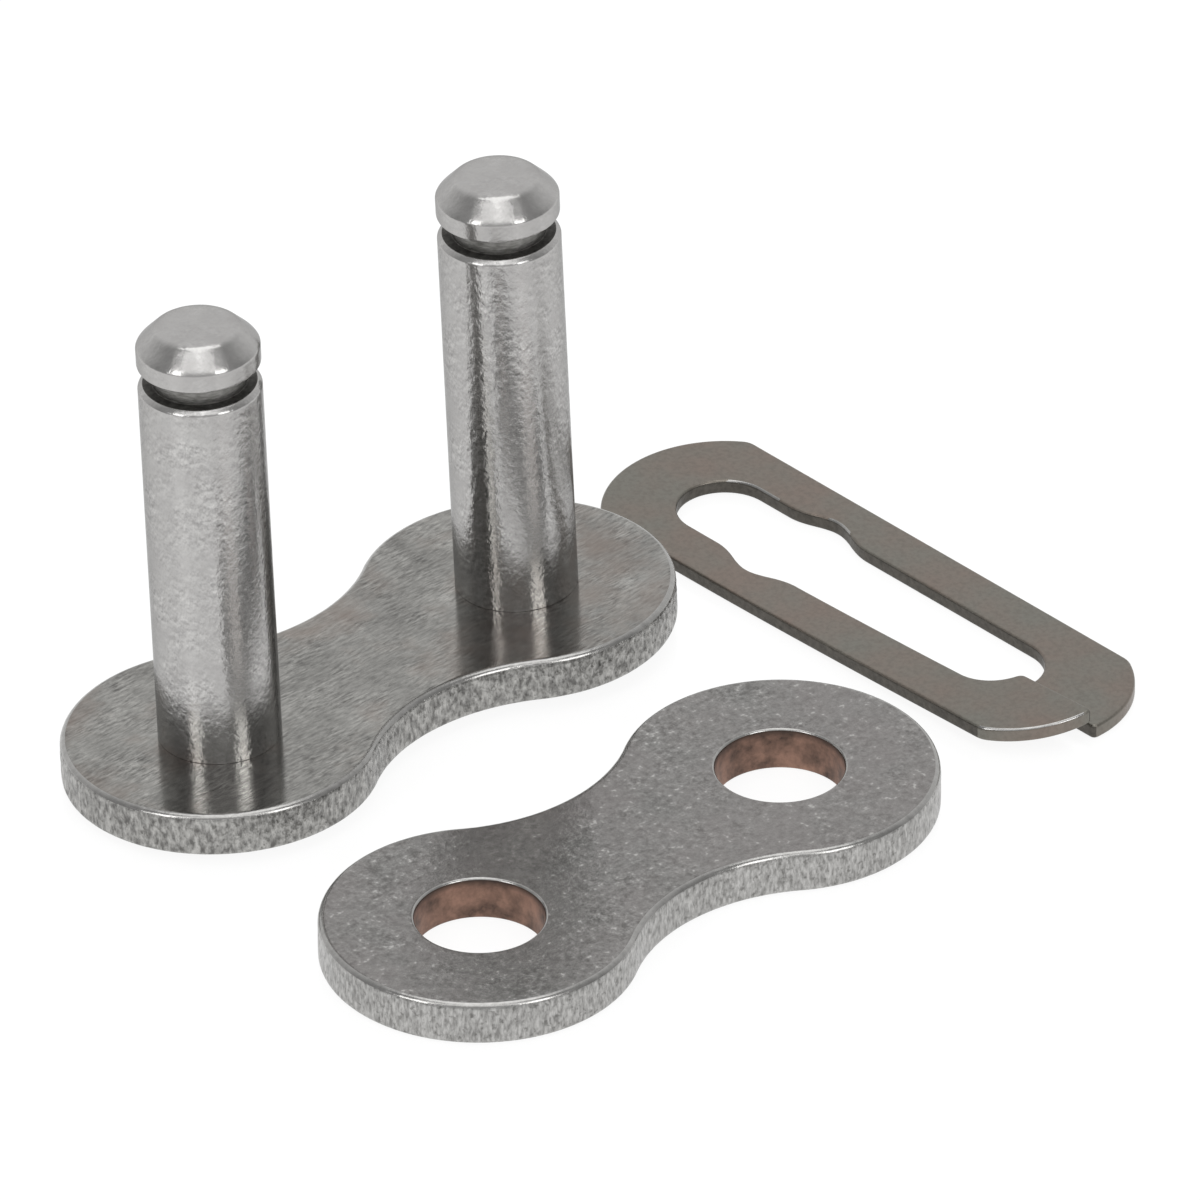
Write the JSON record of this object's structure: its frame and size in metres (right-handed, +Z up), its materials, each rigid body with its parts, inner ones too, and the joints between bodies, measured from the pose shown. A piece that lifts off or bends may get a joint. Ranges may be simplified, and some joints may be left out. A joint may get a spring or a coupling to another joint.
{
  "type": "chain connecting link",
  "caption": "Roller chain connecting link laid out as a kit: pin plate with riveted grooved pins, loose cover plate and spring clip.",
  "frame": {"origin": "middle of the box round the three loose pieces, on the surface they lie on", "axes": "+Z up from the surface, +X along the cover plate from its front hole to its rear hole, +Y from the cover plate to the pin plate"},
  "size_m": [0.0312, 0.0234, 0.0169],
  "materials": {
    "pin_plate_steel": "blanked, tumbled and oiled steel plate with a diagonal grain",
    "pin_steel": "turned, hardened and tumbled bright steel",
    "cover_plate_steel": "blanked and tumbled grey steel plate",
    "clip_steel": "stamped spring steel, warm grey-brown temper colour"
  },
  "bodies": {
    "root": {"pin_plate": "pin_plate_steel", "front_pin": "pin_steel", "rear_pin": "pin_steel", "cover_plate": "cover_plate_steel", "spring_clip": "clip_steel"}
  },
  "joints": []
}
